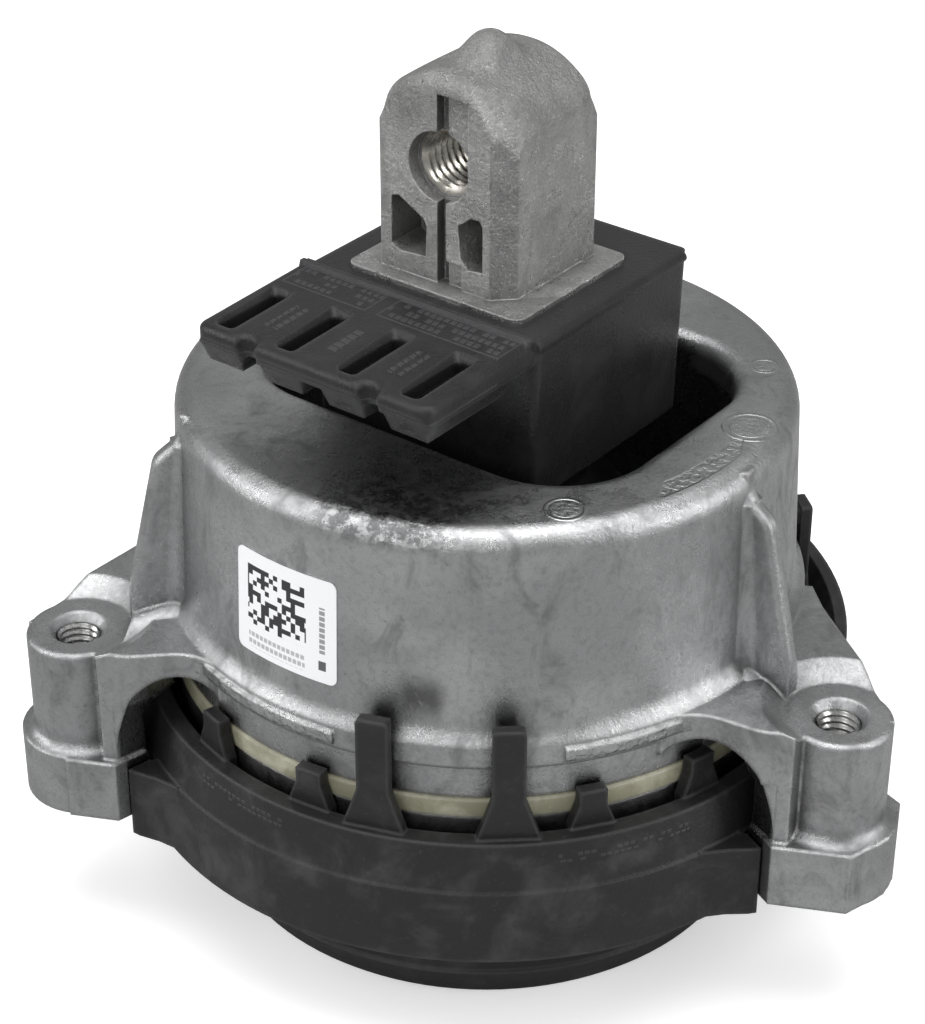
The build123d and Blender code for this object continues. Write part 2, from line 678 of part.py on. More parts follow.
with BuildPart() as channel_plate_upper:
    with BuildSketch(Plane.XZ):
        Polygon((0, plate_joint + disc_thickness / 2), (disc_radius, plate_joint + disc_thickness / 2),
                (disc_radius, plate_joint), (clamp_radius, plate_joint), (clamp_radius, spring_ring_bottom),
                (plate_dish_outer, spring_ring_bottom), (plate_dish_inner, spring_ring_bottom - plate_dish),
                (0, spring_ring_bottom - plate_dish), align=None)
    revolve(axis=Axis.Z)
    with BuildSketch(Plane.XY.offset(plate_joint)):
        Circle(channel_outer)
        Circle(channel_inner, mode=Mode.SUBTRACT)
    extrude(amount=channel_depth, mode=Mode.SUBTRACT)

with BuildPart() as channel_plate_lower:
    with BuildSketch(Plane.XZ):
        Polygon((0, ledge_height + membrane_rim), (clamp_radius, ledge_height + membrane_rim),
                (clamp_radius, plate_joint), (disc_radius, plate_joint),
                (disc_radius, plate_joint - disc_thickness / 2), (0, plate_joint - disc_thickness / 2), align=None)
    revolve(axis=Axis.Z)
    with BuildSketch(Plane.XY.offset(plate_joint)):
        with PolarLocations(port_ring, port_count):
            Circle(port_radius)
        Circle(port_centre)
    extrude(amount=-(plate_joint - ledge_height), mode=Mode.SUBTRACT)

with BuildPart() as decoupling_disc:
    with BuildSketch(Plane.XY.offset(plate_joint - disc_thickness / 2)):
        Circle(disc_radius)
    extrude(amount=disc_thickness)

with BuildPart() as diaphragm:
    rim_top = ledge_height + membrane_rim
    fold = ledge_height - membrane_shoulder
    base = ledge_height - membrane_depth
    with BuildSketch(Plane.XZ):
        Polygon((clamp_radius, ledge_height), (clamp_radius, rim_top), (membrane_outer - membrane_thickness, rim_top),
                (membrane_fold, fold), (disc_radius, base), (0, base), (0, base - membrane_thickness),
                (disc_radius + membrane_thickness / 3, base - membrane_thickness),
                (membrane_fold + membrane_thickness, fold - membrane_thickness / 2),
                (membrane_outer, ledge_height), align=None)
    revolve(axis=Axis.Z)

with BuildPart() as label:
    label_middle = degrees(atan2(core_front.Y, core_front.X))
    with BuildSketch(radial_plane(label_middle - label_arc / 2)):
        Polygon((wall_radius(label_bottom), label_bottom),
                (wall_radius(label_bottom) + label_thickness, label_bottom),
                (wall_radius(label_top) + label_thickness, label_top), (wall_radius(label_top), label_top),
                align=None)
    revolve(axis=Axis.Z, revolution_arc=label_arc)

housing.part.label = "housing"
base_cup.part.label = "base_cup"
core.part.label = "core"
thread_insert.part.label = "thread_insert"
stop_buffer.part.label = "stop_buffer"
rubber_spring.part.label = "rubber_spring"
spring_ring.part.label = "spring_ring"
retaining_ring.part.label = "retaining_ring"
channel_plate_upper.part.label = "channel_plate_upper"
channel_plate_lower.part.label = "channel_plate_lower"
decoupling_disc.part.label = "decoupling_disc"
diaphragm.part.label = "diaphragm"
label.part.label = "label"

export_step(housing.part, "parts/housing.step")
export_step(base_cup.part, "parts/base_cup.step")
export_step(core.part, "parts/core.step")
export_step(thread_insert.part, "parts/thread_insert.step")
export_step(stop_buffer.part, "parts/stop_buffer.step")
export_step(rubber_spring.part, "parts/rubber_spring.step")
export_step(spring_ring.part, "parts/spring_ring.step")
export_step(retaining_ring.part, "parts/retaining_ring.step")
export_step(channel_plate_upper.part, "parts/channel_plate_upper.step")
export_step(channel_plate_lower.part, "parts/channel_plate_lower.step")
export_step(decoupling_disc.part, "parts/decoupling_disc.step")
export_step(diaphragm.part, "parts/diaphragm.step")
export_step(label.part, "parts/label.step")
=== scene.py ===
import bmesh
import bpy
from math import ceil, cos, exp, hypot, pi, radians, sin, sqrt, tan
from mathutils import Matrix, Vector

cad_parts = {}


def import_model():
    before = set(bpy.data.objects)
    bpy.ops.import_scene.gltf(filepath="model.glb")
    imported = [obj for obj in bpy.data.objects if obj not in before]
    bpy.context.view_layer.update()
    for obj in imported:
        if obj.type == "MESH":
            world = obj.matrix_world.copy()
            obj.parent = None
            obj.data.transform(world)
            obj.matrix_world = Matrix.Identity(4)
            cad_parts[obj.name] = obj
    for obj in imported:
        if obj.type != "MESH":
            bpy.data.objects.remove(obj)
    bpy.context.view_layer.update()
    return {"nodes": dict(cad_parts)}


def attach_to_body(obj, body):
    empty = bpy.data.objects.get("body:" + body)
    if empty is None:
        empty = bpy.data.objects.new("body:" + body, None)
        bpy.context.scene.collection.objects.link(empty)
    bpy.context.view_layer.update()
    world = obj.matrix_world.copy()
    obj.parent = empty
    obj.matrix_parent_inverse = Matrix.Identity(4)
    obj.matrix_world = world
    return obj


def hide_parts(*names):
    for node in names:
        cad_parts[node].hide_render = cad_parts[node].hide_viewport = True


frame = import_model()
nodes = frame["nodes"]

# Level directions of the core and the stop pad, which are turned from the bell
turn = radians(-26.4)
along = (cos(turn), sin(turn), 0.0)
front = (sin(turn), -cos(turn), 0.0)
back = tuple(-c for c in front)

# Levels and radii that materials and pieces share with the CAD, in metres
roof_level = 0.1092
pad_level = 0.1322
label_low, label_high = 0.0742, 0.0960
label_first, label_last = radians(-127.3), radians(-105.2)
ring_radius = 0.070


class Shade:
    """Builds one node material; every coordinate is the object's own, in metres."""

    def __init__(self, name):
        self.material = bpy.data.materials.new(name)
        self.material.use_nodes = True
        self.tree = self.material.node_tree
        self.tree.nodes.clear()
        out = self.tree.nodes.new("ShaderNodeOutputMaterial")
        self.shader = self.tree.nodes.new("ShaderNodeBsdfPrincipled")
        self.tree.links.new(self.shader.outputs[0], out.inputs[0])
        self.coords = self.tree.nodes.new("ShaderNodeTexCoord").outputs["Object"]

    def feed(self, socket, value):
        """Links a node's output to a socket, or sets the socket to a constant."""
        if isinstance(value, bpy.types.NodeSocket):
            self.tree.links.new(value, socket)
        else:
            socket.default_value = value

    def set(self, socket, value):
        """Feeds a socket of the shader."""
        self.feed(self.shader.inputs[socket], value)

    def node(self, kind, **inputs):
        """Makes a node and feeds its inputs, whose spaces are written as underscores."""
        made = self.tree.nodes.new(kind)
        for key, value in inputs.items():
            self.feed(made.inputs[key.replace("_", " ")], value)
        return made

    def noise(self, size, detail=3.0, rough=0.55, stretch=None, distort=0.0):
        """Noise whose features are about size metres wide."""
        where = self.coords
        if stretch:
            where = self.node("ShaderNodeMapping", Vector=where, Scale=stretch).outputs[0]
        made = self.node("ShaderNodeTexNoise", Vector=where, Scale=1 / size, Detail=detail,
                         Roughness=rough, Distortion=distort)
        return made.outputs["Fac"]

    def ramp(self, value, low, high, start=0.0, end=1.0):
        """Maps value from low..high to start..end, smoothly and clamped."""
        made = self.node("ShaderNodeMapRange", Value=value, From_Min=low, From_Max=high,
                         To_Min=start, To_Max=end)
        made.interpolation_type = "SMOOTHSTEP"
        return made.outputs[0]

    def math(self, kind, first, second=0.0):
        """One arithmetic step on sockets or numbers."""
        made = self.tree.nodes.new("ShaderNodeMath")
        made.operation = kind
        self.feed(made.inputs[0], first)
        self.feed(made.inputs[1], second)
        return made.outputs[0]

    def scale(self, value, factor):
        """Product of a socket and a factor."""
        return self.math("MULTIPLY", value, factor)

    def mix(self, factor, first, second):
        """Mixes two colours, given as (r, g, b) or as sockets."""
        made = self.tree.nodes.new("ShaderNodeMix")
        made.data_type = "RGBA"
        self.feed(made.inputs[0], factor)
        for socket, value in ((made.inputs[6], first), (made.inputs[7], second)):
            self.feed(socket, value if isinstance(value, bpy.types.NodeSocket) else (*value, 1))
        return made.outputs[2]

    def vector(self, kind, first, second):
        """Value of one vector step."""
        made = self.tree.nodes.new("ShaderNodeVectorMath")
        made.operation = kind
        self.feed(made.inputs[0], first)
        self.feed(made.inputs[1], second)
        return made.outputs["Value"]

    def soft_normal(self, radius):
        """Normal with the edges rounded by radius."""
        made = self.node("ShaderNodeBevel", Radius=radius)
        made.samples = 4
        return made.outputs[0]

    def bump(self, height, strength, distance, rounded=0.0):
        """Bump from a height socket; with rounded, the edges are also softened by that radius."""
        made = self.node("ShaderNodeBump", Height=height, Strength=strength, Distance=distance)
        if rounded:
            self.feed(made.inputs["Normal"], self.soft_normal(rounded))
        self.set("Normal", made.outputs[0])

    def place(self):
        """The object's own x, y and z as three sockets."""
        parts = self.node("ShaderNodeSeparateXYZ", Vector=self.coords)
        return parts.outputs[0], parts.outputs[1], parts.outputs[2]

    def dot(self, direction):
        """Distance along a direction from the origin."""
        return self.vector("DOT_PRODUCT", self.coords, direction)

    def reach(self, x, y):
        """Level distance from an upright line at x, y."""
        px, py, _ = self.place()
        dx = self.math("SUBTRACT", px, x)
        dy = self.math("SUBTRACT", py, y)
        return self.math("SQRT", self.math("ADD", self.scale(dx, dx), self.scale(dy, dy)))

    def within(self, value, low, high, soft=0.0001):
        """1 between low and high, 0 outside."""
        rise = self.ramp(value, low - soft, low + soft)
        fall = self.ramp(value, high - soft, high + soft, 1.0, 0.0)
        return self.scale(rise, fall)

    def all(self, *values):
        """Product of several sockets."""
        made = values[0]
        for value in values[1:]:
            made = self.scale(made, value)
        return made

    def any(self, *values):
        """Largest of several sockets."""
        made = values[0]
        for value in values[1:]:
            made = self.math("MAXIMUM", made, value)
        return made

    def blocks(self, u, v, wide, high, share):
        """Rows of small blocks of uneven length: 1 on a block, 0 between them."""
        slide_per_row = 0.37
        row = self.math("FLOOR", self.math("DIVIDE", v, high))
        slide = self.scale(row, slide_per_row)
        place = self.math("ADD", self.math("DIVIDE", u, wide), slide)
        cell = self.math("FLOOR", place)
        where = self.node("ShaderNodeCombineXYZ", X=cell, Y=row, Z=0.0)
        chance = self.node("ShaderNodeTexWhiteNoise", Vector=where.outputs[0])
        filled = self.math("LESS_THAN", chance.outputs["Value"], share)
        inner_u = self.within(self.math("FRACT", place), 0.12, 0.88, soft=0.06)
        inner_v = self.within(self.math("FRACT", self.math("DIVIDE", v, high)), 0.2, 0.8,
                              soft=0.08)
        return self.all(filled, inner_u, inner_v)

    def edges(self, radius, low=0.02, high=0.25):
        """1 on sharp edges, 0 on flat areas."""
        plain = self.tree.nodes.new("ShaderNodeNewGeometry").outputs["Normal"]
        bent = self.vector("DOT_PRODUCT", self.soft_normal(radius), plain)
        return self.ramp(self.math("SUBTRACT", 1.0, bent), low, high)

    def hollows(self, distance, low=0.35, high=0.95):
        """1 in tight corners, 0 on open areas."""
        made = self.node("ShaderNodeAmbientOcclusion", Distance=distance)
        made.samples = 4
        return self.ramp(made.outputs["AO"], low, high, 1.0, 0.0)


def scaled(colour, factor):
    """A colour made lighter or darker, clipped at white."""
    return tuple(min(1, c * factor) for c in colour)


def cast_metal(name, dark, mid, light, grain, stain, rough, wear_and_highlight, pits=0.35, marks=None,
               stains_and_shade=None, relief=0.3, shade=0.65, painted_glints=0.0, rounded=0.0011):
    """As-cast aluminium: mottled, stained in places, brighter and smoother on its edges from wear
    and a painted highlight, with painted shade in tight corners and painted glints.
    """
    soot_and_shade, painted_corner_shade = scaled(dark, 0.5), scaled(dark, 0.3)
    worn_and_highlit, painted_glint_colour = (0.97, 0.97, 0.97), (0.95, 0.95, 0.94)
    s = Shade(name)
    broad = s.noise(0.026, detail=4, rough=0.6, distort=0.3)
    streak = s.noise(0.008, detail=5, rough=0.65, stretch=(1.0, 1.0, 0.55), distort=0.9)
    fine = s.noise(0.0012, detail=5, rough=0.7)
    pit = s.ramp(s.noise(0.0016, detail=3, rough=0.5, distort=1.0), 0.70, 0.76)
    colour = s.mix(s.ramp(broad, 0.36, 0.66), mid, light)
    colour = s.mix(s.scale(s.ramp(streak, 0.48, 0.72), stain), colour, dark)
    colour = s.mix(s.scale(s.ramp(fine, 0.45, 0.75), 0.35), colour, dark)
    colour = s.mix(s.scale(pit, pits), colour, soot_and_shade)
    # Dark stains, and painted shade where the mask is shade (legs, head)
    if stains_and_shade:
        colour = s.mix(s.scale(stains_and_shade(s), 0.8), colour, soot_and_shade)
    # Painted glints: small near-white spots in the colour, standing in for light caught by the
    # grain
    if painted_glints:
        painted_glint_mask = s.ramp(s.noise(0.0004, detail=3, rough=0.7), 0.57, 0.70)
        colour = s.mix(s.scale(painted_glint_mask, painted_glints), colour, painted_glint_colour)
    # Painted shade: darker in tight corners, by the amount shade
    colour = s.mix(s.scale(s.hollows(0.005), shade), colour, painted_corner_shade)
    # Paler edges: partly wear, partly a painted highlight
    uneven = s.ramp(s.noise(0.0025, detail=4), 0.35, 0.6, 0.25, 1.0)
    edge = s.scale(s.edges(rounded), uneven)
    colour = s.mix(s.scale(edge, wear_and_highlight), colour, worn_and_highlit)
    s.set("Base Color", colour)
    s.set("Metallic", 1.0)
    dull = s.math("ADD", s.scale(streak, 0.6), s.scale(fine, 0.4))
    s.set("Roughness", s.ramp(dull, 0.35, 0.65, rough - 0.07, rough + 0.11))
    height = s.math("ADD", s.noise(grain, detail=4, rough=0.75), s.scale(s.noise(0.006), 1.6))
    if marks:
        height = s.math("ADD", height, s.scale(marks(s), 2.6))
    s.bump(height, relief, 0.0005, rounded=rounded)
    return s.material


def moulded(name, base, pale, rough, grain, sheen=0.0, clouds=0.5, marks=None, line=0.35,
            rounded=0.0010):
    """Moulded plastic or rubber with faint clouding, and paler edges that are a painted highlight.
    """
    s = Shade(name)
    cloud = s.noise(0.012, detail=5, rough=0.65, distort=0.4)
    dust = s.noise(0.0010, detail=4, rough=0.6)
    colour = s.mix(s.scale(s.ramp(cloud, 0.45, 0.75), clouds), base, pale)
    colour = s.mix(s.scale(s.ramp(dust, 0.58, 0.76), 0.4), colour, pale)
    # Painted highlight: paler edges, by the amount line
    colour = s.mix(s.scale(s.edges(0.0012), line), colour, scaled(pale, 2.6))
    height = s.noise(grain, detail=3, rough=0.6)
    if marks:
        raised = marks(s)
        colour = s.mix(s.scale(raised, 0.5), colour, scaled(pale, 1.8))
        height = s.math("ADD", height, s.scale(raised, 12.0))
    s.set("Base Color", colour)
    s.set("Roughness", s.ramp(cloud, 0.3, 0.7, rough - 0.06, rough + 0.1))
    s.set("Sheen Weight", sheen)
    s.set("Specular IOR Level", 0.45)
    s.bump(height, 0.35, 0.0003, rounded=rounded)
    return s.material


def roof_marks(s):
    """Marks left by the die in the roof: three round ones and a sunk strip with a rough floor."""
    round_places = ((0.0232, -0.0472, 0.0036), (0.0522, -0.0113, 0.0050), (0.0524, 0.0133, 0.0026))
    rim = 0.0003
    x, y, z = s.place()
    roof = s.ramp(z, roof_level - 0.0007, roof_level)
    round_marks = []
    for cx, cy, r in round_places:
        away = s.reach(cx, cy)
        ring = s.within(away, r - rim, r + rim, soft=0.00015)
        disc = s.ramp(away, r * 0.75, r * 0.8, 1.0, 0.0)
        inner = s.scale(disc, s.noise(0.0009, detail=3, rough=0.6))
        round_marks.append(s.math("ADD", ring, s.scale(inner, 1.2)))
    centre = s.reach(0.0, 0.0)
    strip = s.all(s.within(centre, 0.0520, 0.0560, soft=0.0002),
                  s.within(x, 0.0390, 0.0515, soft=0.0002),
                  s.within(y, -0.0395, -0.0160, soft=0.0002))
    rough = s.ramp(s.noise(0.0015, detail=3, rough=0.5), 0.42, 0.58, 0.0, 0.5)
    sunk = s.scale(strip, s.math("SUBTRACT", rough, 1.1))
    return s.scale(roof, s.math("ADD", sunk, s.any(*round_marks)))


def housing_marks(s):
    """Rough raised spots on the strips of the lip, and the marks of the roof."""
    z = s.place()[2]
    centre = s.reach(0.0, 0.0)
    band = s.all(s.within(z, 0.0632, 0.0660, soft=0.0002),
                 s.within(centre, 0.0642, 0.0656, soft=0.0002))
    spots = s.ramp(s.noise(0.0016, detail=3, rough=0.5), 0.45, 0.55)
    return s.math("ADD", roof_marks(s), s.scale(band, spots))


def housing_stains_and_shade(s):
    """Dark rough patches on the roof, one on the wall, and painted shade on the inner faces of the
    legs.
    """
    x, y, z = s.place()
    spread = s.noise(0.007, detail=5, rough=0.7, distort=1.2)
    patch = s.ramp(s.reach(-0.008, -0.056), 0.006, 0.020, 1.0, 0.0)
    patch = s.scale(patch, s.ramp(z, 0.104, 0.108))
    mottle = s.scale(patch, s.ramp(s.noise(0.0022, detail=5, rough=0.7), 0.40, 0.56))
    spot = s.scale(s.ramp(s.reach(0.0, -0.0620), 0.002, 0.006, 1.0, 0.0),
                   s.within(z, 0.072, 0.079, soft=0.003))
    aside = s.math("ABSOLUTE", x)
    behind = s.ramp(s.math("ADD", y, s.scale(aside, 1.13)), 0.0249, 0.0255, 1.0, 0.0)
    # Painted shade on the inner faces of the front legs
    leg = s.all(s.ramp(s.reach(0.0, 0.0), 0.0700, 0.0712),
                s.ramp(z, 0.0528, 0.0536, 1.0, 0.0),
                s.ramp(y, -0.0472, -0.0468),
                s.within(aside, 0.0560, 0.0652, soft=0.0003),
                behind)
    return s.any(s.scale(s.any(mottle, spot), s.ramp(spread, 0.30, 0.48)), leg)


def pad_marks(s):
    """Plain raised blocks and frames on the stop pad, and the seam of its mould."""
    a = s.dot(along)
    b = s.dot(back)
    z = s.place()[2]
    border = 0.0004
    near, far = -0.0292, -0.0218
    fields = []
    for low, high in ((-0.0262, -0.0060), (-0.0035, 0.0245)):
        inside = s.all(s.within(a, low, high), s.within(b, near, far))
        core = s.all(s.within(a, low + border, high - border),
                     s.within(b, near + border, far - border))
        rows = s.scale(core, s.blocks(a, b, 0.0015, 0.0022, share=0.78))
        fields.append(s.any(s.math("SUBTRACT", inside, core), rows))
    for middle in (-0.0159, -0.0016, 0.0127):
        box = s.all(s.within(a, middle - 0.0016, middle + 0.0016), s.within(b, -0.0440, -0.0350))
        fields.append(s.scale(box, s.blocks(b, a, 0.0018, 0.0032, share=0.85)))
    top = s.ramp(z, pad_level - 0.0006, pad_level)
    seam = s.all(s.within(z, 0.1288, 0.1292, soft=0.00008),
                 s.ramp(b, -0.0315, -0.0305, 1.0, 0.0))
    return s.any(s.scale(top, s.any(*fields)), s.scale(seam, 0.7))


def head_shade(s):
    """Painted shade: a darker strip on the head's chamfered corner, and a slightly darker roof."""
    z = s.place()[2]
    across = s.math("SUBTRACT", s.dot(along), s.dot(back))
    corner = s.scale(s.ramp(across, 0.02455, 0.02470), 0.50)
    roof = s.scale(s.ramp(z, 0.158, 0.172), 0.34)
    return s.any(corner, roof)


def ring_marks(s):
    """Two short rows of small plain blocks on the ring's top slope."""
    x, y, z = s.place()
    centre = s.reach(0.0, 0.0)
    turns = s.scale(s.math("ARCTAN2", y, x), ring_radius)
    rows = s.blocks(turns, z, 0.0013, 0.0011, share=0.75)
    left = s.within(turns, ring_radius * radians(-130), ring_radius * radians(-112))
    right = s.within(turns, ring_radius * radians(-68), ring_radius * radians(-46))
    slope = s.all(s.ramp(centre, 0.0680, 0.0684), s.within(z, 0.0443, 0.0463, soft=0.0002))
    return s.scale(s.all(rows, s.any(left, right), slope), 0.4)


housing_metal = cast_metal(
    "housing_casting", dark=(0.19, 0.19, 0.195), mid=(0.49, 0.495, 0.50), light=(0.63, 0.635, 0.64),
    grain=0.0006, stain=0.55, rough=0.29, wear_and_highlight=0.8, marks=housing_marks, stains_and_shade=housing_stains_and_shade)
core_metal = cast_metal(
    "core_casting", dark=(0.18, 0.18, 0.178), mid=(0.48, 0.48, 0.475), light=(0.62, 0.62, 0.61),
    grain=0.0006, stain=0.35, rough=0.30, wear_and_highlight=0.9, pits=0.2, stains_and_shade=head_shade, relief=1.0,
    painted_glints=0.6, rounded=0.0005)
steel = cast_metal(
    "insert_steel", dark=(0.34, 0.32, 0.28), mid=(0.64, 0.61, 0.54), light=(0.74, 0.71, 0.65),
    grain=0.0008, stain=0.2, rough=0.24, wear_and_highlight=0.5, pits=0.0, relief=0.03, shade=0.45,
    rounded=0.0002)
bore_metal = cast_metal(
    "boss_thread", dark=(0.3, 0.3, 0.3), mid=(0.60, 0.60, 0.59), light=(0.70, 0.70, 0.69),
    grain=0.0008, stain=0.2, rough=0.26, wear_and_highlight=0.5, pits=0.1, relief=0.06, shade=0.2,
    rounded=0.0002)
ring_metal = cast_metal(
    "ring_steel", dark=(0.2, 0.2, 0.2), mid=(0.4, 0.4, 0.4), light=(0.5, 0.5, 0.5),
    grain=0.0006, stain=0.2, rough=0.4, wear_and_highlight=0.3)
base_plastic = moulded(
    "base_plastic", base=(0.014, 0.014, 0.015), pale=(0.050, 0.050, 0.052), rough=0.42,
    grain=0.0007, clouds=0.8, marks=ring_marks, line=0.4)
plate_plastic = moulded(
    "plate_plastic", base=(0.030, 0.030, 0.032), pale=(0.060, 0.060, 0.062), rough=0.5,
    grain=0.0008)
stop_rubber = moulded(
    "stop_rubber", base=(0.010, 0.010, 0.011), pale=(0.034, 0.034, 0.036), rough=0.27,
    grain=0.0006, sheen=0.05, clouds=0.35, marks=pad_marks, line=0.6, rounded=0.0016)
inner_rubber = moulded(
    "spring_rubber", base=(0.009, 0.009, 0.009), pale=(0.022, 0.022, 0.022), rough=0.6,
    grain=0.0006)
membrane = moulded(
    "membrane_rubber", base=(0.015, 0.015, 0.015), pale=(0.03, 0.03, 0.03), rough=0.55,
    grain=0.0006)
cream = moulded(
    "ring_plastic", base=(0.27, 0.26, 0.18), pale=(0.52, 0.51, 0.40), rough=0.45, grain=0.0008,
    clouds=0.8)

finish = {
    "housing": housing_metal,
    "core": core_metal,
    "thread_insert": steel,
    "spring_ring": ring_metal,
    "base_cup": base_plastic,
    "stop_buffer": stop_rubber,
    "rubber_spring": inner_rubber,
    "retaining_ring": cream,
    "channel_plate_upper": plate_plastic,
    "channel_plate_lower": plate_plastic,
    "decoupling_disc": membrane,
    "diaphragm": membrane,
}
for name, material in finish.items():
    node = nodes[name]
    node.data.materials.clear()
    node.data.materials.append(material)


def label_film():
    """White film with plain grey print: a field of blocks, two rows of bars, a strip, a patch."""
    arc_radius, cell, fine = 0.0612, 0.00105, 0.00005
    paper, ink, grey_ink = (0.82, 0.83, 0.85), (0.030, 0.030, 0.033), (0.10, 0.10, 0.11)
    s = Shade("label_film")
    x, y, z = s.place()
    u = s.scale(s.math("ADD", s.math("ARCTAN2", y, x), -label_first), arc_radius)
    v = s.math("SUBTRACT", z, label_low)

    def box(left, right, low, high):
        return s.all(s.within(u, left, right, soft=fine), s.within(v, low, high, soft=fine))

    column = s.math("FLOOR", s.math("DIVIDE", u, cell))
    row = s.math("FLOOR", s.math("DIVIDE", v, cell))
    where = s.node("ShaderNodeCombineXYZ", X=column, Y=row, Z=3.0)
    chance = s.node("ShaderNodeTexWhiteNoise", Vector=where.outputs[0])
    filled = s.math("GREATER_THAN", chance.outputs["Value"], 0.5)
    field = s.scale(box(0.0028, 0.0171, 0.0063, 0.0189), filled)
    lines = s.scale(box(0.0030, 0.0168, 0.0012, 0.0045), s.blocks(u, v, 0.0011, 0.0016, share=0.9))
    strip = s.scale(box(0.0200, 0.0212, 0.0062, 0.0160), s.blocks(v, u, 0.0012, 0.0060, share=0.9))
    patch = box(0.0198, 0.0214, 0.0026, 0.0046)
    faint = s.any(s.scale(lines, 0.55), s.scale(strip, 0.75), patch)
    s.set("Base Color", s.mix(faint, s.mix(field, paper, ink), grey_ink))
    s.set("Roughness", 0.42)
    s.bump(s.noise(0.003), 0.06, 0.0002)
    return s.material


def attach(piece, replaced=None):
    """Puts a piece in the scene and on the part's one body, hiding the part it replaces."""
    bpy.context.scene.collection.objects.link(piece)
    if replaced:
        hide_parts(replaced)
    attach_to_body(piece, "root")


def mesh_piece(name, points, faces, material, replaced=None, smooth=True):
    """Makes and attaches a piece from points and faces."""
    mesh = bpy.data.meshes.new(name)
    mesh.from_pydata(points, [], faces)
    mesh.validate()
    mesh.update()
    for polygon in mesh.polygons:
        polygon.use_smooth = smooth
    mesh.materials.append(material)
    if smooth:
        mesh.set_sharp_from_angle(angle=radians(35))
    attach(bpy.data.objects.new(name, mesh), replaced)


def wall_radius(z):
    """Radius of the bell's drafted wall at a height."""
    top_radius, top_height, draft = 0.0603, 0.1096, radians(2.4)
    return top_radius + (top_height - z) * tan(draft)


def label_sheet():
    """Thin film on the wall with rounded corners."""
    corner, underside, surface = 0.0015, 0.00002, 0.0002
    corner_steps, middle_steps, rows = 6, 24, 4
    mean = wall_radius((label_low + label_high) / 2)
    length = (label_last - label_first) * mean
    edge = [corner * (1 - cos(pi / 2 * i / corner_steps)) for i in range(corner_steps + 1)]
    middle = [corner + (length - 2 * corner) * i / middle_steps for i in range(1, middle_steps)]
    places = edge + middle + [length - e for e in reversed(edge)]
    side = rows + 1
    points, faces = [], []
    for u in places:
        near = min(u, length - u, corner)
        cut = corner - sqrt(max(corner ** 2 - (corner - near) ** 2, 0.0))
        angle = label_first + u / mean
        for lift in (underside, surface):
            for step in range(side):
                z = label_low + cut + (label_high - label_low - 2 * cut) * step / rows
                r = wall_radius(z) + lift
                points.append((r * cos(angle), r * sin(angle), z))
    for i in range(len(places) - 1):
        a, b = 2 * side * i, 2 * side * (i + 1)
        for step in range(rows):
            top_a, top_b = a + side + step, b + side + step
            faces.append((top_a, top_b, top_b + 1, top_a + 1))
            faces.append((b + step, a + step, a + 1 + step, b + 1 + step))
        faces.append((a, b, b + side, a + side))
        faces.append((a + rows, a + side + rows, b + side + rows, b + rows))
    for a, flip in ((0, 1), (2 * side * (len(places) - 1), -1)):
        for step in range(rows):
            end = (a + step, a + side + step, a + side + 1 + step, a + 1 + step)
            faces.append(end[::flip])
    mesh_piece("label_sheet", points, faces, label_film(), "label", smooth=False)


def thread_radius(turns, minor, major):
    """Radius of a 60 degree thread, with turns as the place within one pitch."""
    crest, flank, root = 0.12, 0.40, 0.08
    t = turns % 1.0
    if t < crest:
        share = 0.0
    elif t < crest + flank:
        share = (t - crest) / flank
    elif t < crest + flank + root:
        share = 1.0
    else:
        share = 1.0 - (t - crest - root - flank) / (1.0 - crest - root - flank)
    return minor + (major - minor) * share


def thread(name, origin, inward, side, minor, major, pitch, length, lead, material,
           outer=None, replaced=None):
    """Threaded wall of a bore from its mouth inward; with outer, a closed sleeve around it."""
    around, rows_per_turn, rim_gap = 72, 12, 0.0001
    origin, inward, side = Vector(origin), Vector(inward), Vector(side)
    across = inward.cross(side)
    down = ceil(length / pitch * rows_per_turn)
    points, faces = [], []

    def ring(depth, radius):
        for i in range(around):
            angle = 2 * pi * i / around
            spoke = side * cos(angle) + across * sin(angle)
            points.append(tuple(origin + inward * depth + spoke * radius(angle)))

    if outer:
        ring(length, lambda angle: outer)
        ring(0.0, lambda angle: outer)
        ring(0.0, lambda angle: major + rim_gap)
    for k in range(down + 1):
        depth = lead + (length - lead) * k / down
        ring(depth, lambda angle: thread_radius(depth / pitch - angle / (2 * pi), minor, major))
    if outer:
        ring(length, lambda angle: outer)
    rows = len(points) // around
    for k in range(rows - 1):
        here, below = k * around, (k + 1) * around
        for i in range(around):
            j = (i + 1) % around
            faces.append((here + j, here + i, below + i, below + j))
    mesh_piece(name, points, faces, material, replaced)


def rounding(short, radius):
    """How far a rounded edge lies below its corner, short of it by the given distance."""
    return radius - sqrt(max(radius ** 2 - min(short, radius) ** 2, 0.0))


def crown_height(a, b):
    """Height of the head's roof in millimetres at a along and b across the head."""
    top, half_a, half_b = 175.2, 14.6, 13.8
    fall_a, fall_b = (7.3 if a > 0 else 6.3), 0.5
    edge_radius, corner_radius, corner_reach = 3.0, 6.0, 24.8
    fall_outside = 1.6
    peak_height, peak_radius = 4.25, 5.0
    roof = top - fall_a * min(abs(a) / half_a, 1) ** 2.2 - fall_b * min(abs(b) / half_b, 1) ** 2.4
    side = hypot(max(edge_radius - half_a + abs(a), 0), max(edge_radius - half_b + abs(b), 0))
    beyond = fall_outside * max(side - edge_radius, 0)
    chamfer = max(corner_radius - (corner_reach - a + b) / sqrt(2), 0)
    peak = peak_height * exp(-(hypot(a, b) / peak_radius) ** 3)
    drop = hypot(rounding(side, edge_radius) + beyond, rounding(chamfer, corner_radius))
    return roof - drop + peak


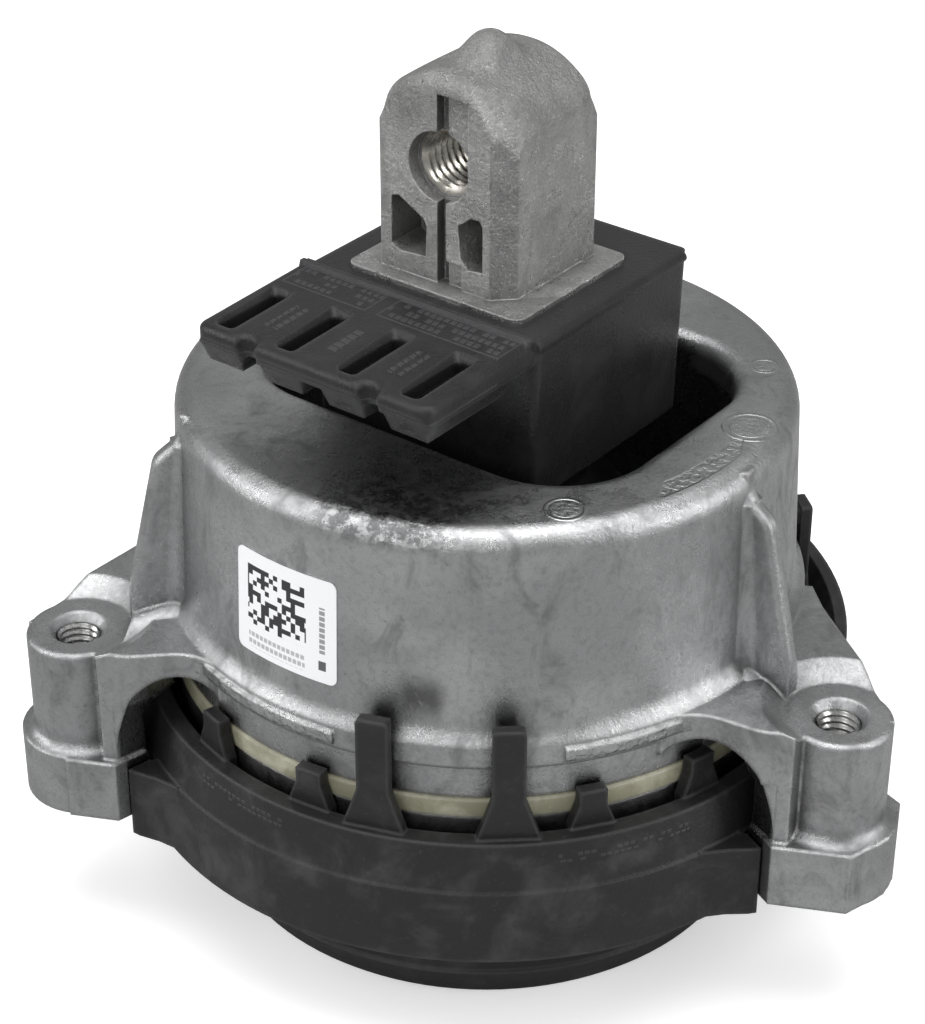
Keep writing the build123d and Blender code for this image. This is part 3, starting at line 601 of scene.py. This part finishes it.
def core_head():
    """The core with a finer roof: full rounded shoulders and a peak that flares into them."""
    fine_above, longest, most_rounds = 0.1585, 0.0010, 6
    roof_low, roof_slope, least_upward = 0.167, 0.0004, 0.12
    mesh = nodes["core"].data.copy()
    shape = bmesh.new()
    shape.from_mesh(mesh)
    bmesh.ops.remove_doubles(shape, verts=shape.verts, dist=0.000001)
    bmesh.ops.triangulate(shape, faces=shape.faces)
    for _ in range(most_rounds):
        long = [edge for edge in shape.edges
                if min(v.co.z for v in edge.verts) > fine_above and edge.calc_length() > longest]
        if not long:
            break
        bmesh.ops.subdivide_edges(shape, edges=long, cuts=1)
        bmesh.ops.triangulate(shape, faces=[face for face in shape.faces if len(face.verts) > 3])
    shape.normal_update()
    for vertex in shape.verts:
        a = 1000 * vertex.co.dot(Vector(along))
        b = -1000 * vertex.co.dot(Vector(front))
        height = 0.001 * crown_height(a, b)
        above = vertex.co.z > roof_low - roof_slope * abs(a)
        if above and vertex.normal.z > least_upward or vertex.co.z > height:
            vertex.co.z = height
    bmesh.ops.dissolve_degenerate(shape, edges=shape.edges, dist=0.000005)
    shape.to_mesh(mesh)
    shape.free()
    if "custom_normal" in mesh.attributes:
        mesh.attributes.remove(mesh.attributes["custom_normal"])
    for polygon in mesh.polygons:
        polygon.use_smooth = True
    mesh.set_sharp_from_angle(angle=radians(38))
    mesh.materials.clear()
    mesh.materials.append(core_metal)
    attach(bpy.data.objects.new("core_head", mesh), "core")


def leg_cheek(name, side):
    """Curved cheek that carries the arch down into the inner edge of a front leg."""
    levels, top, drop = 14, 0.0552, 0.0136
    inner_x, bulge, outer_x = 0.0612, 0.0030, 0.0643
    outer_front, outer_back = -0.04767, -0.0450
    points, faces = [], []
    for i in range(levels + 1):
        share = i / levels
        z = top - drop * share
        x = inner_x + bulge * sin(pi / 2 * share)
        # Planes of the leg's front and of its slanting inner side, in the CAD's numbers
        face_y = -0.0472 - (x - 0.0614) * 0.165
        back_y = -0.0416 - (x - 0.0588) * 1.13 + 0.0003
        for px, py in ((x, face_y), (outer_x, outer_front), (outer_x, outer_back),
                       (x, max(back_y, face_y))):
            points.append((side * px, py, z))
    for i in range(levels):
        for j in range(4):
            a, b = 4 * i + j, 4 * i + (j + 1) % 4
            faces.append((a, b, b + 4, a + 4)[::side])
    faces.append((3, 2, 1, 0)[::side])
    faces.append(tuple(4 * levels + j for j in range(4))[::side])
    mesh_piece(name, points, faces, housing_metal)


def shoulder_bridge():
    """Closes the tops of the groove and the panel below the head's rounded front edge."""
    across, deep = 24, 10
    floor_z, cover = 171.4, 0.01
    first_a, wide, first_b, long = -1.5, 7.5, -13.79, 2.7
    points, faces = [], []
    for low in (True, False):
        for i in range(across + 1):
            for j in range(deep + 1):
                a = first_a + wide * i / across
                b = first_b + long * j / deep
                z = floor_z if low else crown_height(a, b) + cover
                spot = Vector(along) * a - Vector(front) * b
                points.append((spot.x / 1000, spot.y / 1000, z / 1000))
    count = (across + 1) * (deep + 1)
    for i in range(across):
        for j in range(deep):
            a = i * (deep + 1) + j
            b = a + deep + 1
            faces.append((count + a, count + b, count + b + 1, count + a + 1))
            faces.append((a, a + 1, b + 1, b))
    for i in range(across):
        a, b = i * (deep + 1), (i + 1) * (deep + 1)
        faces.append((a, b, count + b, count + a))
        faces.append((b + deep, a + deep, count + a + deep, count + b + deep))
    for j in range(deep):
        a = across * (deep + 1) + j
        faces.append((j + 1, j, count + j, count + j + 1))
        faces.append((a, a + 1, count + a + 1, count + a))
    mesh_piece("shoulder_bridge", points, faces, core_metal)


core_head()
shoulder_bridge()
leg_cheek("leg_cheek_right", 1)
leg_cheek("leg_cheek_left", -1)
label_sheet()
seat_depth, hole_aside, hole_height = 0.0108, -0.0010, 0.1572
mouth = Vector(front) * seat_depth + Vector(along) * hole_aside + Vector((0, 0, hole_height))
thread("insert_thread", mouth, back, along, minor=0.0051, major=0.0060, pitch=0.00175,
       length=0.0160, lead=0.0004, material=steel, outer=0.0063,
       replaced="thread_insert")
boss_top = 0.0627
for name, x, y in (("boss_thread_left", -0.0742, -0.036), ("boss_thread_right", 0.0742, -0.036),
                   ("boss_thread_rear", 0.0, 0.082472)):
    thread(name, (x, y, boss_top), (0, 0, -1), (1, 0, 0), minor=0.00365, major=0.00422,
           pitch=0.0015, length=0.0165, lead=0.0, material=bore_metal)


def pick_shader(tree, factor, first, second):
    """Mix node that shows the second shader where factor is 1."""
    made = tree.nodes.new("ShaderNodeMixShader")
    tree.links.new(factor, made.inputs[0])
    tree.links.new(first.outputs[0], made.inputs[1])
    tree.links.new(second.outputs[0], made.inputs[2])
    return made


def floor():
    """Pale floor: it glows a little for the camera, and mirrors show it dimmer."""
    size, pale, dim_grey, glow_strength = 6.0, 0.86, 0.34, 0.42
    mesh = bpy.data.meshes.new("floor")
    corners = [(-size, -size, 0), (size, -size, 0), (size, size, 0), (-size, size, 0)]
    mesh.from_pydata(corners, [], [(0, 1, 2, 3)])
    plane = bpy.data.objects.new("floor", mesh)
    bpy.context.scene.collection.objects.link(plane)
    material = bpy.data.materials.new("floor")
    material.use_nodes = True
    tree = material.node_tree
    tree.nodes.clear()
    out = tree.nodes.new("ShaderNodeOutputMaterial")
    path = tree.nodes.new("ShaderNodeLightPath")
    lit = tree.nodes.new("ShaderNodeBsdfDiffuse")
    lit.inputs[0].default_value = (pale, pale, pale, 1)
    dim = tree.nodes.new("ShaderNodeBsdfDiffuse")
    dim.inputs[0].default_value = (dim_grey, dim_grey, dim_grey, 1)
    glow = tree.nodes.new("ShaderNodeEmission")
    glow.inputs["Color"].default_value = (1, 1, 1, 1)
    glow.inputs["Strength"].default_value = glow_strength
    bright = tree.nodes.new("ShaderNodeAddShader")
    tree.links.new(lit.outputs[0], bright.inputs[0])
    tree.links.new(glow.outputs[0], bright.inputs[1])
    seen = pick_shader(tree, path.outputs["Is Camera Ray"], lit, bright)
    both = pick_shader(tree, path.outputs["Is Glossy Ray"], seen, dim)
    tree.links.new(both.outputs[0], out.inputs[0])
    mesh.materials.append(material)


def world():
    """White background for the camera, a level grey light, and a dimmer one in mirrors."""
    lighting, mirrored, shown = 0.54, 0.31, 1.0
    made = bpy.data.worlds.new("studio")
    bpy.context.scene.world = made
    made.use_nodes = True
    tree = made.node_tree
    tree.nodes.clear()
    out = tree.nodes.new("ShaderNodeOutputWorld")
    path = tree.nodes.new("ShaderNodeLightPath")
    skies = []
    for strength in (lighting, mirrored, shown):
        sky = tree.nodes.new("ShaderNodeBackground")
        sky.inputs["Color"].default_value = (1, 1, 1, 1)
        sky.inputs["Strength"].default_value = strength
        skies.append(sky)
    unseen = pick_shader(tree, path.outputs["Is Glossy Ray"], skies[0], skies[1])
    seen = pick_shader(tree, path.outputs["Is Camera Ray"], unseen, skies[2])
    tree.links.new(seen.outputs[0], out.inputs[0])


def lamp(name, place, width, height, power):
    """Rectangular soft lamp aimed at the middle of the part."""
    target = Vector((0, 0, 0.08))
    data = bpy.data.lights.new(name, "AREA")
    data.shape = "RECTANGLE"
    data.size = width
    data.size_y = height
    data.energy = power
    made = bpy.data.objects.new(name, data)
    made.location = place
    made.rotation_euler = (target - Vector(place)).to_track_quat("-Z", "Y").to_euler()
    bpy.context.scene.collection.objects.link(made)


def camera():
    """Camera solved from the photo."""
    place = Vector((0.084919, -0.448988, 0.357069))
    forward = Vector((-0.16721, 0.83681, -0.52134)).normalized()
    roll = radians(0.09)
    level = forward.cross(Vector((0, 0, 1))).normalized()
    upright = level.cross(forward)
    right = level * cos(roll) + upright * sin(roll)
    up = upright * cos(roll) - level * sin(roll)
    data = bpy.data.cameras.new("camera")
    data.sensor_width = 36.0
    data.lens = 94.32
    data.clip_start = 0.01
    made = bpy.data.objects.new("camera", data)
    axes = Matrix((right, up, -forward)).transposed()
    made.matrix_world = Matrix.Translation(place) @ axes.to_4x4()
    bpy.context.scene.collection.objects.link(made)
    bpy.context.scene.camera = made


floor()
world()
lamp("left", (-0.95, -0.25, 0.55), width=0.35, height=0.8, power=3.4)
lamp("right", (0.95, -0.15, 0.45), width=0.35, height=0.8, power=3.6)
lamp("top", (0.0, -0.05, 1.05), width=0.95, height=0.75, power=6.5)
lamp("front", (-0.35, -1.1, 0.75), width=0.5, height=0.4, power=2.8)
camera()
bpy.context.scene.view_settings.view_transform = "Standard"
